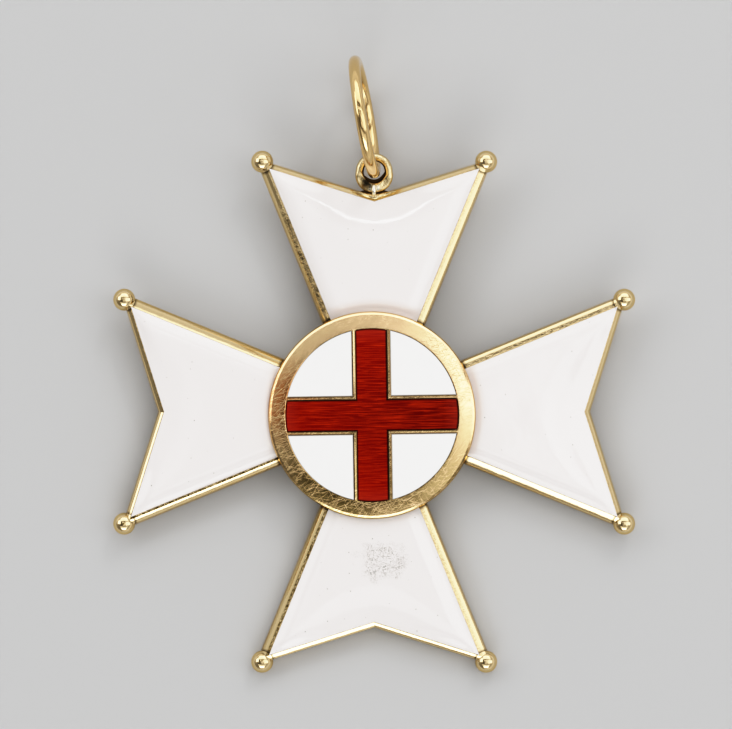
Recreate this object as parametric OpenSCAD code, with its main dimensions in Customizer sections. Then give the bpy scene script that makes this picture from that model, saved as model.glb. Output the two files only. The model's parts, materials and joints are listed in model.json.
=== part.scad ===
// Order cross: four notched arms of white enamel in gold, with a ball on each point, a round
// medallion with a red cross on white, and the suspension ring that it hangs from.
//
// Every piece is drawn with the cross flat on its back: the face up, the top arm along +Y and
// the underside of the balls at height 0. As a last step each one is tipped to the way that
// the badge lies: on the two lower balls and on the ring, which reaches below the back.

/* [Arms] */
// Distance from the centre of the cross to a ball, measured along the arm
ball_reach = 25; // [24.5:0.1:26.5]
// Distance from the middle line of an arm to each of its balls
ball_spread = 11.2; // [10.7:0.1:11.8]
// Diameter of a ball
ball_d = 2.2; // [1.9:0.1:3]
// Angle between the side of an arm and its middle line
side_angle = 22.2; // [21:0.1:23]
// Angle between half of the notch and a line straight across the arm
notch_angle = 17.5; // [15:0.5:19]
// Distance from the centre of the cross to the enamel at the bottom of the notch
notch_reach = 21; // [20.5:0.1:21.5]
// Half the width that the enamel of an arm would have at the centre of the cross
enamel_root = 0.6; // [0.4:0.05:0.8]

/* [Rims] */
// Thickness of the gold plate from its back to the top of the rims
plate_t = 1.7; // [1.5:0.1:2.1]
// Width of the rim's top along the sides of an arm
side_rim_w = 0.5; // [0.4:0.05:0.6]
// Width of the rim's top along the notch
notch_rim_w = 0.35; // [0.3:0.05:0.5]
// Distance that the wall along the sides slopes outwards on its way down
side_draft = 0.35; // [0.2:0.05:0.4]
// Distance that the wall along the notch slopes outwards on its way down
notch_draft = 0.2; // [0.1:0.05:0.3]
// Height that the top of a rim falls from the enamel to its outer edge
rim_fall = 0.2; // [0.1:0.02:0.3]
// Width of the level strip of a rim next to the enamel
rim_land = 0.05; // [0.02:0.01:0.1]
// Width of the bevel along the back of the plate and round the top of the medallion
bevel = 0.12; // [0.05:0.01:0.15]

/* [Arm enamel] */
// Depth of the cell that holds the enamel
cell_depth = 1.05; // [0.8:0.05:1.2]
// Height of the enamel's cushion above its edge
cushion_h = 0.5; // [0.2:0.05:0.5]
// Distance from its edge over which the enamel rises
cushion_run = 3.5; // [2:0.1:4.5]
// Gap between any two pieces that lie together
seam = 0.03; // [0.02:0.01:0.05]

/* [Medallion] */
// Diameter of the seat under the medallion
seat_d = 19.8; // [19:0.1:20]
// Diameter of the medallion at the upper edge of its wall
medallion_d = 20.5; // [20.2:0.1:21]
// Thickness of the medallion
medallion_t = 0.75; // [0.7:0.05:1]
// Distance that the medallion's wall slopes outwards on its way down
medallion_draft = 0.1; // [0:0.02:0.2]
// Diameter of the enamelled middle of the medallion
field_d = 17.3; // [16:0.1:17.6]
// Depth of the enamel in the medallion
field_depth = 0.4; // [0.3:0.05:0.5]
// Width of the bars of the red cross
bar_w = 3.15; // [2:0.05:4]
// Radius of the corners at the ends of the bars
bar_corner_r = 0.25; // [0.1:0.05:0.5]
// Width of the gold walls that outline the red cross
bar_wall_w = 0.32; // [0.25:0.01:0.5]
// How far the medallion sits to the left of the centre of the cross
medallion_left = 0.22; // [0:0.01:0.25]
// How far the medallion sits below the centre of the cross
medallion_down = 0.33; // [0:0.01:0.35]
// Turn of the medallion against the cross, in degrees
medallion_turn = 0.85; // [0:0.05:2]

/* [Eye and ring] */
// Distance from the centre of the cross to the middle of the eye
eye_reach = 24; // [23.9:0.05:24.2]
// Diameter of the hole in the eye
eye_hole_d = 2.1; // [2:0.05:2.3]
// Thickness of the eye's wire
eye_wire_d = 0.8; // [0.7:0.05:0.9]
// Width of the eye's foot where it is soldered into the notch
foot_w = 3; // [2.4:0.1:3.2]
// Mean diameter of the suspension ring
ring_d = 11.24; // [10.8:0.02:12]
// Thickness of the suspension ring's wire
ring_wire_d = 1.18; // [1:0.02:1.2]
// Distance from the centre of the cross up to the middle of the ring
ring_reach = 29.4; // [29.3:0.05:29.5]
// How far the middle of the ring lies to the left of the middle line
ring_left = 0.96; // [0.9:0.02:1]
// Height of the middle of the ring above the middle of the eye
ring_rise = 2; // [1.5:0.1:2.4]
// Lean of the ring to the left, in degrees
ring_lean = 9.6; // [9:0.1:10]
// Turn of the standing ring about its long axis, in degrees
ring_turn = 4.1; // [3:0.1:5]

/* [Hidden] */
$fn = 96;

gold = "#d8b878";
white_enamel = "#f1eeec";
red_enamel = "#9a1a10";

// How far the seat stands above the top of the enamel
seat_stand = 0.05;
// How far a cut or an inner shape runs past the surface that it has to clear
past = 1;

// The arm that points up is a quarter turn round from the one along +X
top_turn = 90;
right_turn = 0;
bottom_turn = 270;
left_turn = 180;

// Heights, with the underside of the balls at 0 and the plate half way up them
ball_r = ball_d / 2;
plate_back = ball_r - plate_t / 2;
rim_top = ball_r + plate_t / 2;
cell_floor = rim_top - cell_depth;
enamel_edge = rim_top - seam;
seat_top = rim_top + cushion_h + seat_stand;
medallion_back = seat_top + seam;
medallion_top = medallion_back + medallion_t;
field_floor = medallion_top - field_depth;

// The two edges that bound half an arm: the side is v = root + u * tan(side_angle) and the
// notch is u = reach + v * tan(notch_angle), with u along the arm and v across it
side_slope = tan(side_angle);
notch_slope = tan(notch_angle);
outer_root = enamel_root + (side_rim_w + side_draft) / cos(side_angle);
outer_reach = notch_reach + (notch_rim_w + notch_draft) / cos(notch_angle);

function tip_u(root, reach) = (reach + root * notch_slope) / (1 - side_slope * notch_slope);
function side_v(root, u) = root + u * side_slope;
function turned(p, angle) = [
    p[0] * cos(angle) - p[1] * sin(angle),
    p[0] * sin(angle) + p[1] * cos(angle)
];

// Half outline of one arm from its lower point to the corner that it shares with the next
// arm, as four points
function arm_points(root, reach) =
    let (
        u = tip_u(root, reach),
        v = side_v(root, u),
        corner = root / (1 - side_slope)
    )
    [[u, -v], [reach, 0], [u, v], [corner, corner]];

// Outline of the whole cross, with its edges moved in by the two distances
function cross_points(side_in, notch_in) =
    let (
        root = outer_root - side_in / cos(side_angle),
        reach = outer_reach - notch_in / cos(notch_angle),
        points = arm_points(root, reach)
    )
    [for (arm = [0:3]) for (p = points) turned(p, 90 * arm)];

// The plate's walls, from the back up: height, inset of the sides, inset of the notches
plate_sections = [
    [plate_back, bevel, bevel],
    [plate_back + bevel, 0, 0],
    [rim_top - rim_fall, side_draft, notch_draft],
    [rim_top, side_draft + side_rim_w - rim_land, notch_draft + notch_rim_w - rim_land]
];

// A solid through outlines that all have the same number of points. Its back and its top are
// triangles about the centre, from which the whole outline can be seen.
module loft(sections) {
    outlines = [for (s = sections) cross_points(s[1], s[2])];
    count = len(outlines[0]);
    last = len(sections) - 1;
    points = [
        for (i = [0:last])
            for (p = outlines[i])
                [p[0], p[1], sections[i][0]]
    ];
    back_middle = len(points);
    top_middle = back_middle + 1;
    middles = [[0, 0, sections[0][0]], [0, 0, sections[last][0]]];
    ends = [
        for (k = [0:count - 1])
            let (n = (k + 1) % count)
            each [[back_middle, k, n], [top_middle, last * count + n, last * count + k]]
    ];
    walls = [
        for (i = [0:last - 1])
            for (k = [0:count - 1])
                let (n = (k + 1) % count)
                [i * count + k, (i + 1) * count + k, (i + 1) * count + n, i * count + n]
    ];
    polyhedron(concat(points, middles), concat(ends, walls));
}

// The cell of an arm seen from above. It runs on a little way into the place of the seat.
module cell_outline() {
    u = tip_u(enamel_root, notch_reach);
    v = side_v(enamel_root, u);
    difference() {
        polygon([[0, -enamel_root], [u, -v], [notch_reach, 0], [u, v], [0, enamel_root]]);
        circle(d = seat_d - past);
    }
}

// How the cushion rises with the distance from one edge: 0 at the edge, 1 past the run
function rise(distance) = 1 - pow(1 - min(max(distance, 0) / cushion_run, 1), 2);

// Distance to the notch, round its bottom point as well as square to its two edges
function notch_distance(u, v, reach) =
    abs(v) < (reach - u) * notch_slope
        ? norm([reach - u, v])
        : (reach - u + abs(v) * notch_slope) * cos(notch_angle);

// Height of the enamel at a point of an arm
function enamel_height(u, v, root, reach) =
    let (half_w = side_v(root, u))
    enamel_edge + cushion_h
        * rise((half_w - v) * cos(side_angle))
        * rise((half_w + v) * cos(side_angle))
        * rise(notch_distance(u, v, reach));

// Where the line at share t of an arm's half width meets the seat and the notch
function seat_u(t, root, r) =
    let (
        a = 1 + pow(t * side_slope, 2),
        b = t * t * root * side_slope,
        c = pow(t * root, 2) - r * r
    )
    (-b + sqrt(b * b - a * c)) / a;
function notch_u(t, root, reach) =
    (reach + abs(t) * root * notch_slope) / (1 - abs(t) * side_slope * notch_slope);

// The enamel is a grid of rows across the arm and columns along it
enamel_rows = 12;
enamel_cols = 12;

module arm_enamel(turn) {
    root = enamel_root - seam / cos(side_angle);
    reach = notch_reach - seam / cos(notch_angle);
    floor_z = cell_floor + seam;
    top_points = [
        for (i = [0:enamel_rows])
            for (j = [0:enamel_cols])
                let (
                    t = 2 * j / enamel_cols - 1,
                    start = seat_u(t, root, seat_d / 2 + seam),
                    end = notch_u(t, root, reach),
                    u = start + (end - start) * i / enamel_rows,
                    v = t * side_v(root, u)
                )
                [u, v, enamel_height(u, v, root, reach)]
    ];
    stride = enamel_cols + 1;
    border = concat(
        [for (j = [0:enamel_cols - 1]) j],
        [for (i = [0:enamel_rows - 1]) i * stride + enamel_cols],
        [for (j = [enamel_cols:-1:1]) enamel_rows * stride + j],
        [for (i = [enamel_rows:-1:1]) i * stride]
    );
    count = len(border);
    first_low = len(top_points);
    low_points = [for (p = top_points) [p[0], p[1], floor_z]];
    top_faces = [
        for (i = [0:enamel_rows - 1])
            for (j = [0:enamel_cols - 1])
                let (k = i * stride + j)
                each [[k, k + 1, k + stride], [k + 1, k + stride + 1, k + stride]]
    ];
    low_faces = [for (f = top_faces) [for (k = [2:-1:0]) first_low + f[k]]];
    walls = [
        for (k = [0:count - 1])
            let (here = border[k], next = border[(k + 1) % count])
            [here, first_low + here, first_low + next, next]
    ];
    color(white_enamel)
        as_it_lies()
            rotate(turn)
                difference() {
                    polyhedron(
                        concat(top_points, low_points),
                        concat(top_faces, low_faces, walls)
                    );
                    arm_balls(ball_r + seam);
                }
}

// The balls on the two points of the arm along +X
module arm_balls(r) {
    for (side = [-1, 1])
        translate([ball_reach, side * ball_spread, ball_r])
            sphere(r = r);
}

// The gold cross: plate, cells, seat, balls and eye, all soldered together
module cross_body() {
    color(gold)
        as_it_lies() {
            difference() {
                loft(plate_sections);
                for (arm = [0:3])
                    rotate(90 * arm)
                        translate([0, 0, cell_floor])
                            linear_extrude(cell_depth + past)
                                cell_outline();
            }
            translate([0, 0, plate_back])
                cylinder(d = seat_d, h = seat_top - plate_back);
            for (arm = [0:3])
                rotate(90 * arm)
                    arm_balls(ball_r);
            translate([0, eye_reach, ball_r])
                eye();
        }
}

// The eye, about its own middle, with a foot that reaches down into the notch
module eye() {
    mean_r = (eye_hole_d + eye_wire_d) / 2;
    foot_neck_w = 2.4;
    foot_below = 0.08;
    foot_t = eye_wire_d - 2 * foot_below;
    into_wire = 0.2;
    foot_top = -(eye_hole_d / 2 + into_wire);
    foot_low = outer_reach - eye_reach + foot_w / 2 * notch_slope - notch_draft;
    rotate_extrude()
        translate([mean_r, 0])
            circle(d = eye_wire_d);
    translate([0, 0, -foot_t / 2])
        linear_extrude(foot_t)
            polygon([
                [-foot_neck_w / 2, foot_top],
                [-foot_w / 2, foot_low],
                [0, outer_reach - eye_reach - notch_rim_w],
                [foot_w / 2, foot_low],
                [foot_neck_w / 2, foot_top]
            ]);
}

// Where the medallion sits on the cross
module on_seat() {
    as_it_lies()
        translate([-medallion_left, -medallion_down, 0])
            rotate(medallion_turn)
                children();
}

// One bar of the red cross: its corners are small arcs between its sides and its round ends
module bar(grow) {
    end_r = field_d / 2 + grow;
    half_w = bar_w / 2 + grow;
    corner_v = half_w - bar_corner_r;
    corner_u = sqrt(pow(end_r - bar_corner_r, 2) - corner_v * corner_v);
    meet_v = corner_v * end_r / (end_r - bar_corner_r);
    intersection() {
        circle(r = end_r);
        square([2 * end_r, 2 * meet_v], center = true);
    }
    square([2 * corner_u, 2 * half_w], center = true);
    for (x = [-corner_u, corner_u])
        for (y = [-corner_v, corner_v])
            translate([x, y])
                circle(r = bar_corner_r);
}

module red_cross_outline(grow) {
    bar(grow);
    rotate(90)
        bar(grow);
}

// The quarter field between the right and the upper bar
module field_outline(grow) {
    start = bar_w / 2 + bar_wall_w - grow;
    intersection() {
        circle(r = field_d / 2 + grow);
        translate([start, start])
            square(field_d);
    }
}

module medallion() {
    wall_r = medallion_d / 2;
    low_r = wall_r + medallion_draft;
    color(gold)
        on_seat()
            difference() {
                rotate_extrude()
                    polygon([
                        [0, medallion_back],
                        [low_r, medallion_back],
                        [wall_r, medallion_top - bevel],
                        [wall_r - bevel, medallion_top],
                        [0, medallion_top]
                    ]);
                translate([0, 0, field_floor])
                    linear_extrude(field_depth + past) {
                        red_cross_outline(0);
                        for (quarter = [0:3])
                            rotate(90 * quarter)
                                field_outline(0);
                    }
            }
}

module medallion_cross() {
    color(red_enamel)
        on_seat()
            translate([0, 0, field_floor + seam])
                linear_extrude(field_depth - 2 * seam)
                    red_cross_outline(-seam);
}

module medallion_field(turn) {
    color(white_enamel)
        on_seat()
            rotate(turn)
                translate([0, 0, field_floor + seam])
                    linear_extrude(field_depth - 2 * seam)
                        field_outline(-seam);
}

module suspension_ring() {
    color(gold)
        as_it_lies()
            translate(ring_middle)
                rotate([0, 90 - ring_turn, ring_lean])
                    rotate_extrude()
                        translate([ring_d / 2, 0])
                            circle(d = ring_wire_d);
}

// How the badge lies. The head rises until the ring and the lower balls both touch the
// ground, which is found by halving the angle's range again and again.
ring_middle = [-ring_left, ring_reach, ball_r + ring_rise];
ring_axis = [cos(ring_turn) * cos(ring_lean), cos(ring_turn) * sin(ring_lean), sin(ring_turn)];

function tipped(p, tilt) = [
    p[0],
    p[1] * cos(tilt) - p[2] * sin(tilt),
    p[1] * sin(tilt) + p[2] * cos(tilt)
];
// How far a ring reaches from its middle along direction k of the three axes
function ring_reach_along(axis, k) = ring_d / 2 * sqrt(1 - axis[k] * axis[k]) + ring_wire_d / 2;
function ring_lowest(tilt) =
    tipped(ring_middle, tilt)[2] - ring_reach_along(tipped(ring_axis, tilt), 2);
function ball_lowest(tilt) = tipped([0, -ball_reach, ball_r], tilt)[2] - ball_r;
function lying_tilt(low, high, steps) =
    let (middle = (low + high) / 2)
    steps == 0
        ? middle
        : ring_lowest(middle) < ball_lowest(middle)
            ? lying_tilt(middle, high, steps - 1)
            : lying_tilt(low, middle, steps - 1);

tilt = lying_tilt(0, 20, 40);
back_y = tipped([0, -ball_reach, ball_r], tilt)[1] - ball_r;
front_y = tipped(ring_middle, tilt)[1] + ring_reach_along(tipped(ring_axis, tilt), 1);

// The origin is on the ground, under the middle of the space that the badge takes up
module as_it_lies() {
    translate([0, -(back_y + front_y) / 2, -ball_lowest(tilt)])
        rotate([tilt, 0, 0])
            children();
}

module arm_enamel_top() { arm_enamel(top_turn); }
module arm_enamel_right() { arm_enamel(right_turn); }
module arm_enamel_bottom() { arm_enamel(bottom_turn); }
module arm_enamel_left() { arm_enamel(left_turn); }
module medallion_field_upper_right() { medallion_field(right_turn); }
module medallion_field_upper_left() { medallion_field(top_turn); }
module medallion_field_lower_left() { medallion_field(left_turn); }
module medallion_field_lower_right() { medallion_field(bottom_turn); }

cross_body();
arm_enamel_top();
arm_enamel_right();
arm_enamel_bottom();
arm_enamel_left();
medallion();
medallion_cross();
medallion_field_upper_left();
medallion_field_upper_right();
medallion_field_lower_left();
medallion_field_lower_right();
suspension_ring();
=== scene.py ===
import json
import math

import bmesh
import bpy
from mathutils import Matrix, Vector, geometry, noise


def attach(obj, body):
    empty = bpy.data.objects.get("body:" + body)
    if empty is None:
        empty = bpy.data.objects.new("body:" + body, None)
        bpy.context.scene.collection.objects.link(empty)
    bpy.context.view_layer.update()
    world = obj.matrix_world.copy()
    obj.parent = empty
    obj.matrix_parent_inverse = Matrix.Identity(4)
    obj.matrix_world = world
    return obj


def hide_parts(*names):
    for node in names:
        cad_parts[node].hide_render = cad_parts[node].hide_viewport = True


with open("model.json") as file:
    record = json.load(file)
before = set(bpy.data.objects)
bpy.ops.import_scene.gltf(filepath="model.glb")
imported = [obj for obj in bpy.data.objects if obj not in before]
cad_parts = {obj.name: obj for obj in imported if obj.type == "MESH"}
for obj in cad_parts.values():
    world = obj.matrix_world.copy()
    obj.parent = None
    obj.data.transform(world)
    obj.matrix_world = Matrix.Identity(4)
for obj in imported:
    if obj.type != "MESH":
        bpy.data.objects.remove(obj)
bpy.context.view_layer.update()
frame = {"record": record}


# The gold cross. One plate of yellow gold carries all four arms. Its edges stand up as rims
# round the enamel, and eight drawn balls, the eye of round wire and the round seat of the
# medallion are soldered on. Everything is then filed and polished.
mm = 0.001
mounts = {mount["name"]: mount for mount in frame["record"]["mounts"]}

ball_reach = 25.0
ball_spread = 11.2
ball_r = 1.1
plate_back = 0.25
back_round = 0.12
rim_top = 1.95
cell_floor = 0.9
side_angle = math.radians(22.2)
notch_angle = math.radians(17.5)
side_slope = math.tan(side_angle)
notch_slope = math.tan(notch_angle)
enamel_root = 0.6
notch_reach = 21.0
side_rim_w = 0.5
notch_rim_w = 0.35
side_draft = 0.35
notch_draft = 0.2
outer_root = enamel_root + (side_rim_w + side_draft) / math.cos(side_angle)
outer_reach = notch_reach + (notch_rim_w + notch_draft) / math.cos(notch_angle)
seat_r = 9.9
seat_top = 2.5
# The lower edge of the plate stands this far out past its rims.
flare = 0.05
# The medallion was fixed a little off the middle, down and to the left.
medallion_offset = (-0.22, -0.33, 0)

# Sizes are drawn in millimetres with the badge flat on its back and its head along +Y. This
# turns and lifts them to where the badge lies, which the frame's mount on the back gives.
back_axis = Vector(mounts["back"]["axis"])
tip_up = Matrix.Rotation(math.atan2(back_axis.y, -back_axis.z), 4, "X")
lie = (
    Matrix.Translation(mounts["back"]["pos_m"])
    @ tip_up
    @ Matrix.Scale(mm, 4)
    @ Matrix.Translation((0, 0, -plate_back))
)


def turned(point, angle):
    """The same point, turned about the middle of the cross."""
    c, s = math.cos(angle), math.sin(angle)
    return (point[0] * c - point[1] * s, point[0] * s + point[1] * c)


def edge_line(arm, kind, side, inset):
    """One edge of the cross as (normal, distance), moved in by inset. kind is side or notch,
    and side is 1 for the edge on the left of the arm as seen from the middle, or -1."""
    if kind == "side":
        normal = (-math.sin(side_angle), side * math.cos(side_angle))
        distance = outer_root * math.cos(side_angle) - inset
    else:
        normal = (math.cos(notch_angle), -side * math.sin(notch_angle))
        distance = outer_reach * math.cos(notch_angle) - inset
    return turned(normal, arm * math.pi / 2), distance


def crossing(first, second):
    """The point where two edges meet."""
    (a, b), c = first
    (d, e), f = second
    det = a * e - b * d
    return (c * e - b * f) / det, (a * f - c * d) / det


# How each rim was filed: the slant of its top in degrees where it starts to fall, below 10 for
# a rounded rim and 25 or more for a bevel, the width of the level edge left by the enamel and,
# on three rims, the width of a rounded outer edge that is narrower than usual. The arms run
# right, head, left and foot.
filed_sides = {
    1: ((9, 0.04), (38, 0.22), (27, 0.24), (6, 0.05)),
    -1: ((27, 0.05, 0.11), (6, 0.04), (34, 0.025), (38, 0.3)),
}
filed_notches = {
    1: ((34, 0.05), (36, 0.05), (28, 0.05), (27, 0.06, 0.09)),
    -1: ((34, 0.05), (36, 0.05), (26, 0.08), (25, 0.04, 0.07)),
}


def rim_crown(width, slant, level_w, round_w=0.14):
    """The section of a rim's top as (inset, height): up its outer wall, then one curve over its
    outer edge and its slant to its level edge."""
    inner = width - level_w
    lean = math.radians(slant)
    steeper = math.radians(slant + 4)
    run = 0.42 * inner
    on_slant = (inner - run * math.cos(lean), rim_top - run * math.sin(lean))
    at_edge = (round_w, on_slant[1] - (on_slant[0] - round_w) * math.tan(steeper))
    on_wall = (0.57 * round_w, at_edge[1] - 1.14 * round_w)
    handles = (on_wall, at_edge, on_slant, (inner, rim_top))
    section = [(-flare, plate_back + back_round)]
    steps = 40
    for k in range(steps + 1):
        t = k / steps
        weights = ((1 - t) ** 3, 3 * t * (1 - t) ** 2, 3 * t * t * (1 - t), t**3)
        section.append([sum(w * q[i] for w, q in zip(weights, handles)) for i in (0, 1)])
    return section


def inset_at(section, z):
    """How far a section has moved in from the outline at the height z."""
    for (x0, z0), (x1, z1) in zip(section, section[1:]):
        if z <= z1:
            return x0 + (x1 - x0) * (z - z0) / (z1 - z0)
    return section[-1][0]


def cross_rings():
    """The outlines of the tray, from its back over the rims to the floor of its cells."""
    order = (("side", -1), ("notch", -1), ("notch", 1), ("side", 1))
    edges = [(arm, kind, side) for arm in range(4) for kind, side in order]
    widths = {"side": side_rim_w + side_draft, "notch": notch_rim_w + notch_draft}
    filed = {"side": filed_sides, "notch": filed_notches}
    crowns = [rim_crown(widths[kind], *filed[kind][side][arm]) for arm, kind, side in edges]
    levels = []
    for angle in (90, 67, 45, 22):
        slant = math.radians(angle)
        inset = back_round * (1 - math.cos(slant)) - flare
        z = plate_back + back_round * (1 - math.sin(slant))
        levels.append((z, [inset] * len(edges)))
    # How far below the top each outline lies: closer together where the crowns curve.
    drops = (1.58, 1.0, 0.6, 0.5, 0.42, 0.36, 0.31, 0.27, 0.235, 0.2, 0.17, 0.14, 0.115, 0.09)
    drops += (0.07, 0.05, 0.035, 0.022, 0.012, 0.005, 0.001)
    for drop in drops:
        z = rim_top - drop
        levels.append((z, [inset_at(crown, z) for crown in crowns]))
    cell_edge = 0.015
    for inside, z in ((-cell_edge, rim_top), (0, rim_top - cell_edge), (0, cell_floor)):
        levels.append((z, [widths[kind] + inside for _, kind, _ in edges]))
    rings = []
    for z, insets in levels:
        lines = [edge_line(*edge, inset) for edge, inset in zip(edges, insets)]
        rings.append([(*crossing(lines[k - 1], lines[k]), z) for k in range(len(lines))])
    return rings


def skin(rings, first=None, last=None, closed=False, creased=False):
    """A shell through rings of points: its points, faces and creased edges. first and last are
    the points that close its ends. In a closed skin the last ring joins the first one."""
    count = len(rings[0])
    points = [p for ring in rings for p in ring]
    faces = []
    creases = []
    for i in range(len(rings) - (0 if closed else 1)):
        low = i * count
        high = (i + 1) % len(rings) * count
        for k in range(count):
            n = (k + 1) % count
            faces.append((low + k, low + n, high + n, high + k))
            if creased:
                creases.append((low + k, high + k))
    for tip, start in ((first, 0), (last, (len(rings) - 1) * count)):
        if tip is not None:
            middle = len(points)
            points.append(tip)
            faces += [(start + k, start + (k + 1) % count, middle) for k in range(count)]
    return points, faces, creases


def lathe(profile, centre=(0, 0), steps=96):
    """A shell turned from a profile of (radius, height) about an upright axis. The profile's
    two ends lie on the axis."""
    cx, cy = centre
    rings = []
    for r, z in profile[1:-1]:
        angles = [2 * math.pi * k / steps for k in range(steps)]
        rings.append([(cx + r * math.cos(a), cy + r * math.sin(a), z) for a in angles])
    return skin(rings, (cx, cy, profile[0][1]), (cx, cy, profile[-1][1]))


def make_piece(name, shells, material, place=lie):
    """One object made of closed shells. Edges that bend more than crease_angle stay crisp."""
    crease_angle = math.radians(14)
    mesh = bpy.data.meshes.new(name)
    built = bmesh.new()
    for points, faces, creases in shells:
        made = [built.verts.new(p) for p in points]
        for face in faces:
            built.faces.new([made[k] for k in face])
        for a, b in creases:
            built.edges.get((made[a], made[b])).smooth = False
    bmesh.ops.recalc_face_normals(built, faces=built.faces)
    for face in built.faces:
        face.smooth = True
    for edge in built.edges:
        if edge.calc_face_angle(0) > crease_angle:
            edge.smooth = False
    built.transform(place)
    built.to_mesh(mesh)
    built.free()
    made_piece = bpy.data.objects.new(name, mesh)
    bpy.context.scene.collection.objects.link(made_piece)
    mesh.materials.append(material)
    return made_piece


def linear(hex_colour):
    """The linear RGBA value of an sRGB hex colour."""
    shown = [int(hex_colour[k : k + 2], 16) / 255 for k in (1, 3, 5)]
    return [c / 12.92 if c <= 0.04045 else ((c + 0.055) / 1.055) ** 2.4 for c in shown] + [1]


def add_node(tree, kind, settings=None, inputs=None):
    """Add one node with its own settings. Each input is set to a value, or linked to a socket or
    to the first output of a node. The colours that a Mix node takes are its inputs 6 and 7, and
    the one that it gives is its output 2."""
    node = tree.nodes.new(kind)
    for name, value in (settings or {}).items():
        setattr(node, name, value)
    for name, value in (inputs or {}).items():
        if isinstance(value, bpy.types.Node):
            value = value.outputs[0]
        if isinstance(value, bpy.types.NodeSocket):
            tree.links.new(value, node.inputs[name])
        else:
            node.inputs[name].default_value = value
    return node


def new_material(name):
    """A material with no nodes in it yet."""
    material = bpy.data.materials.new(name)
    material.use_nodes = True
    material.node_tree.nodes.clear()
    return material


def drawn_place(tree, placed=lie):
    """The place on the piece as it was drawn, in millimetres, before placed laid it down. So a
    pattern follows the piece's own middle and directions, its sizes are real ones, and the
    scale of a noise is how many of its bumps come to a millimetre."""
    place = add_node(tree, "ShaderNodeTexCoord")
    return add_node(
        tree,
        "ShaderNodeMapping",
        {"vector_type": "TEXTURE"},
        {
            "Vector": place.outputs["Object"],
            "Location": placed.to_translation(),
            "Rotation": placed.to_euler(),
            "Scale": placed.to_scale(),
        },
    )


def scratches(tree, place, layers):
    """Scratches as a height, 0 between them. Each layer has its own direction and is (angle in
    degrees, length, width, least): a scratch starts where a noise is over least, and is full a
    little above it. The angle also moves a layer, so that no two layers share their noise."""
    soft = 0.05
    total = None
    for angle, length, width, least in layers:
        stretched = add_node(
            tree,
            "ShaderNodeMapping",
            {"vector_type": "TEXTURE"},
            {
                "Vector": place,
                "Rotation": (0, 0, math.radians(angle)),
                "Scale": (length, width, length),
                "Location": (angle * 0.37, angle * 0.11, 0),
            },
        )
        streaks = add_node(
            tree, "ShaderNodeTexNoise", inputs={"Vector": stretched, "Scale": 1.0, "Detail": 0.0}
        )
        cut = add_node(
            tree,
            "ShaderNodeMapRange",
            inputs={"Value": streaks, "From Min": least, "From Max": least + soft},
        )
        if total is None:
            total = cut
        else:
            total = add_node(tree, "ShaderNodeMath", {"operation": "ADD"}, {0: total, 1: cut})
    return total


def round_patch(tree, place, middle, full_r, clear_r):
    """A round patch about a middle: 1 out to full_r, fading to 0 at clear_r."""
    apart = add_node(tree, "ShaderNodeVectorMath", {"operation": "DISTANCE"}, {0: place, 1: middle})
    return add_node(
        tree,
        "ShaderNodeMapRange",
        inputs={"Value": apart.outputs["Value"], "From Min": clear_r, "From Max": full_r},
    )


gold_colour = linear("#E6D0A6")
gold_edge_colour = linear("#F4E2BC")
# A dull olive: painted shade on level edges low on the left.
dull_olive_shade = linear("#8A7646")
# Dark brown: painted shade in crevices and hollows, and old polish left between file marks.
shade_and_old_polish = linear("#2E2210")
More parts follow.
